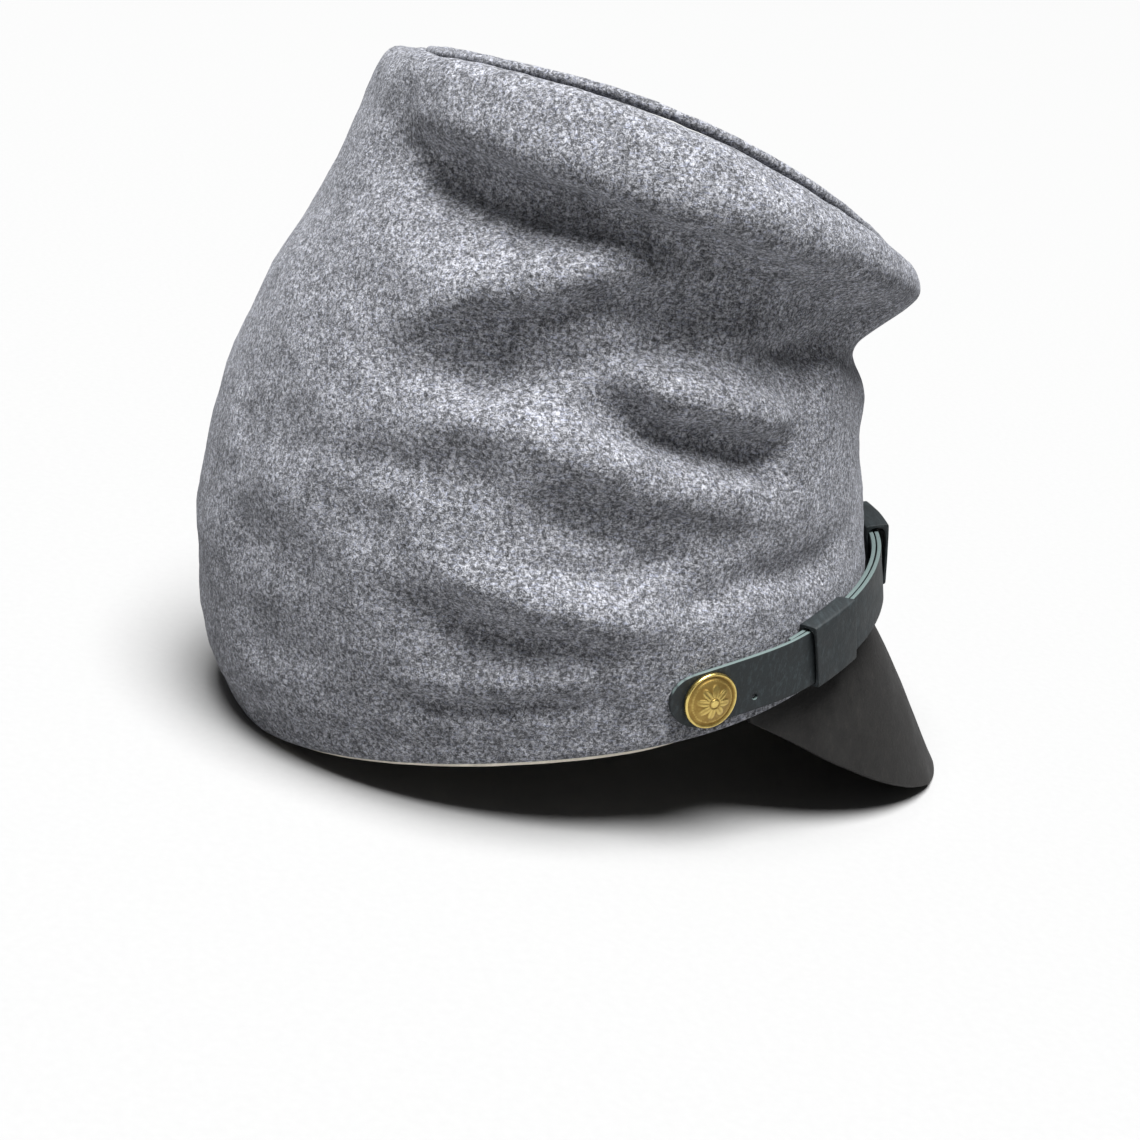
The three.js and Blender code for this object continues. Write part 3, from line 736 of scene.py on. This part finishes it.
def rosette(radius, turn, petals):
    """Height of the stamped rosette, 0 to 1, at a distance from the middle and a turn around it."""
    share = radius / (BUTTON_RADIUS - BUTTON_RIM)
    petal = np.abs(np.cos(petals * turn / 2))
    reach = 0.34 + 0.42 * petal ** 0.8
    inside = 1 - smooth_between(share, reach - 0.10, reach)
    vein = 1 - 0.45 * np.exp(-((1 - petal) * 14) ** 2) * smooth_between(share, 0.2, 0.3)
    ring = np.exp(-((share - 0.86) / 0.035) ** 2)
    beads = ring * (0.35 + 0.65 * np.cos(petals * 3 * turn) ** 2)
    boss = np.sqrt(np.clip(1 - (share / 0.17) ** 2, 0, 1))
    groove = np.exp(-((share - 0.2) / 0.03) ** 2)
    return np.clip(inside * vein * (1 - groove) * (0.55 + 0.25 * share) + boss * 0.9 + beads * 0.5, 0, 1)


def button_rows(turns, shank, settings):
    """The button's rings from the shank to the middle of its face: radius, height and how low, at each turn."""
    field = BUTTON_RADIUS - BUTTON_RIM
    plain = (
        (SHANK_RADIUS, -shank, 0.0), (SHANK_RADIUS, -0.02 * MM, 0.0),
        (BUTTON_RADIUS - 1.2 * MM, 0.0, 0.0), (BUTTON_RADIUS - BUTTON_BEND, 0.0, 0.0),
        (BUTTON_RADIUS, BUTTON_BEND, 0.0), (BUTTON_RADIUS, BUTTON_EDGE - BUTTON_BEND, 0.0),
        (BUTTON_RADIUS - BUTTON_BEND * 0.6, BUTTON_EDGE - BUTTON_BEND * 0.2, 0.0),
        (BUTTON_RADIUS - BUTTON_RIM * 0.5, BUTTON_EDGE, 0.0), (field, BUTTON_EDGE - 0.45 * MM, 1.0),
    )
    rows = [tuple(np.full_like(turns, value) for value in row) for row in plain]
    rise = BUTTON_DOME - BUTTON_EDGE - settings.relief / 2
    for i in range(1, BUTTON_RINGS):
        share = 1 - i / BUTTON_RINGS
        radius = np.full_like(turns, field * share)
        stamp = rosette(radius, turns, settings.petals)
        dome = BUTTON_EDGE - 0.5 * MM + rise * (1 - share ** 2)
        rows.append((radius, dome + settings.relief * stamp, (1 - stamp) * 0.9))
    return rows


def ring_faces(rows, count):
    """Faces of a closed shape: a first point, rows of count points each, and a last point."""
    faces = []
    last = 1 + (rows - 1) * count
    for k in range(count):
        following = (k + 1) % count
        faces.append((0, 1 + k, 1 + following))
        for row in range(rows - 1):
            here, above = 1 + row * count, 1 + (row + 1) * count
            faces.append((here + k, above + k, above + following, here + following))
        faces.append((last + k, last + count, last + following))
    return faces


class CAP_OT_buttons(bpy.types.Operator):
    """Makes the domed brass buttons with a stamped rosette"""

    bl_idname = "cap.buttons"
    bl_label = "Buttons"

    def execute(self, context):
        turns = np.linspace(0, 2 * math.pi, BUTTON_SECTORS, endpoint=False)
        for node, name in (("button_right", "brass_button_right"), ("button_left", "brass_button_left")):
            back, axis, up, side, shank = button_frame(node)
            rows = button_rows(turns, shank, context.scene.cap_buttons)
            points = [back - axis * shank]
            marks = [0.0]
            for radii, heights, lows in rows:
                for turn, radius, height, low in zip(turns, radii, heights, lows):
                    points.append(back + axis * height + (up * math.cos(turn) + side * math.sin(turn)) * radius)
                    marks.append(float(low))
            points.append(back + axis * rows[-1][1].mean())
            marks.append(0.0)
            mesh = bpy.data.meshes.new(name)
            mesh.from_pydata([tuple(p) for p in points], [], ring_faces(len(rows), BUTTON_SECTORS))
            bm = bmesh.new()
            bm.from_mesh(mesh)
            bmesh.ops.recalc_face_normals(bm, faces=bm.faces)
            for face in bm.faces:
                face.smooth = True
            bm.to_mesh(mesh)
            bm.free()
            mesh.attributes.new("stamped_low", "FLOAT", "POINT").data.foreach_set("value", marks)
            piece = bpy.data.objects.new(name, mesh)
            context.scene.collection.objects.link(piece)
            declare(piece, node, finish_of("stamped_gilt_brass", gilt_brass))
        return {"FINISHED"}


class CAP_OT_stage(bpy.types.Operator):
    """Sets the floor, the light and the camera"""

    bl_idname = "cap.stage"
    bl_label = "Stage"

    def execute(self, context):
        settings = context.scene.cap_stage
        scene = context.scene
        mesh = bpy.data.meshes.new("paper_floor")
        half = FLOOR_SIZE / 2
        mesh.from_pydata([(-half, -half, 0), (half, -half, 0), (half, half, 0), (-half, half, 0)], [], [(0, 1, 2, 3)])
        floor = bpy.data.objects.new("paper_floor", mesh)
        scene.collection.objects.link(floor)
        mesh.materials.append(studio_paper())
        ceiling = bpy.data.lights.new("soft_ceiling", "SUN")
        ceiling.energy = settings.key_strength
        ceiling.angle = settings.key_spread
        above = bpy.data.objects.new("soft_ceiling", ceiling)
        above.location = KEY_PLACE
        above.rotation_euler = KEY_TURN
        scene.collection.objects.link(above)
        world = bpy.data.worlds.new("studio")
        world.use_nodes = True
        background = world.node_tree.nodes["Background"]
        background.inputs["Color"].default_value = (1.0, 1.0, 1.0, 1.0)
        background.inputs["Strength"].default_value = settings.fill_strength
        scene.world = world
        scene.view_settings.view_transform = "Standard"
        lens = bpy.data.cameras.new("camera")
        lens.lens = CAMERA_LENS
        lens.sensor_width = SENSOR_WIDTH
        lens.clip_start, lens.clip_end = CAMERA_CLIP
        camera = bpy.data.objects.new("camera", lens)
        scene.collection.objects.link(camera)
        back = CAMERA_RIGHT.cross(CAMERA_UP).normalized()
        up = back.cross(CAMERA_RIGHT).normalized()
        turned = camera.matrix_world.to_3x3()
        for column, direction in enumerate((CAMERA_RIGHT, up, back)):
            turned.col[column] = direction
        camera.matrix_world = turned.to_4x4()
        camera.location = CAMERA_PLACE
        scene.camera = camera
        return {"FINISHED"}


class CAP_PT_panel(bpy.types.Panel):
    """Lists the cap's pieces and their settings"""

    bl_idname = "CAP_PT_panel"
    bl_label = "Forage cap"
    bl_space_type = "VIEW_3D"
    bl_region_type = "UI"
    bl_category = "Cap"

    def draw(self, context):
        scene = context.scene
        for operator, settings, names in (
            ("cap.crown", scene.cap_wool, ("base", "fleck_size", "rumple")),
            ("cap.sweatband", None, ()),
            ("cap.peak", scene.cap_leather, ("peak_bevel",)),
            ("cap.straps", scene.cap_leather, ("strap_bevel",)),
            ("cap.buttons", scene.cap_buttons, ("petals", "relief")),
            ("cap.stage", scene.cap_stage, ("key_strength", "key_spread", "fill_strength")),
        ):
            box = self.layout.box()
            box.operator(operator)
            for name in names:
                box.prop(settings, name)


SETTINGS = (
    ("cap_wool", WoolSettings),
    ("cap_leather", LeatherSettings),
    ("cap_buttons", ButtonSettings),
    ("cap_stage", StageSettings),
)
OPERATORS = (CAP_OT_crown, CAP_OT_sweatband, CAP_OT_peak, CAP_OT_straps, CAP_OT_buttons, CAP_OT_stage)


def register():
    for name, group in SETTINGS:
        bpy.utils.register_class(group)
        setattr(bpy.types.Scene, name, PointerProperty(type=group))
    for operator in OPERATORS:
        bpy.utils.register_class(operator)
    bpy.utils.register_class(CAP_PT_panel)


def unregister():
    bpy.utils.unregister_class(CAP_PT_panel)
    for operator in reversed(OPERATORS):
        bpy.utils.unregister_class(operator)
    for name, group in reversed(SETTINGS):
        delattr(bpy.types.Scene, name)
        bpy.utils.unregister_class(group)


def main():
    register()
    bpy.ops.cap.crown()
    bpy.ops.cap.sweatband()
    bpy.ops.cap.peak()
    bpy.ops.cap.straps()
    bpy.ops.cap.buttons()
    bpy.ops.cap.stage()


if __name__ == "__main__":
    main()
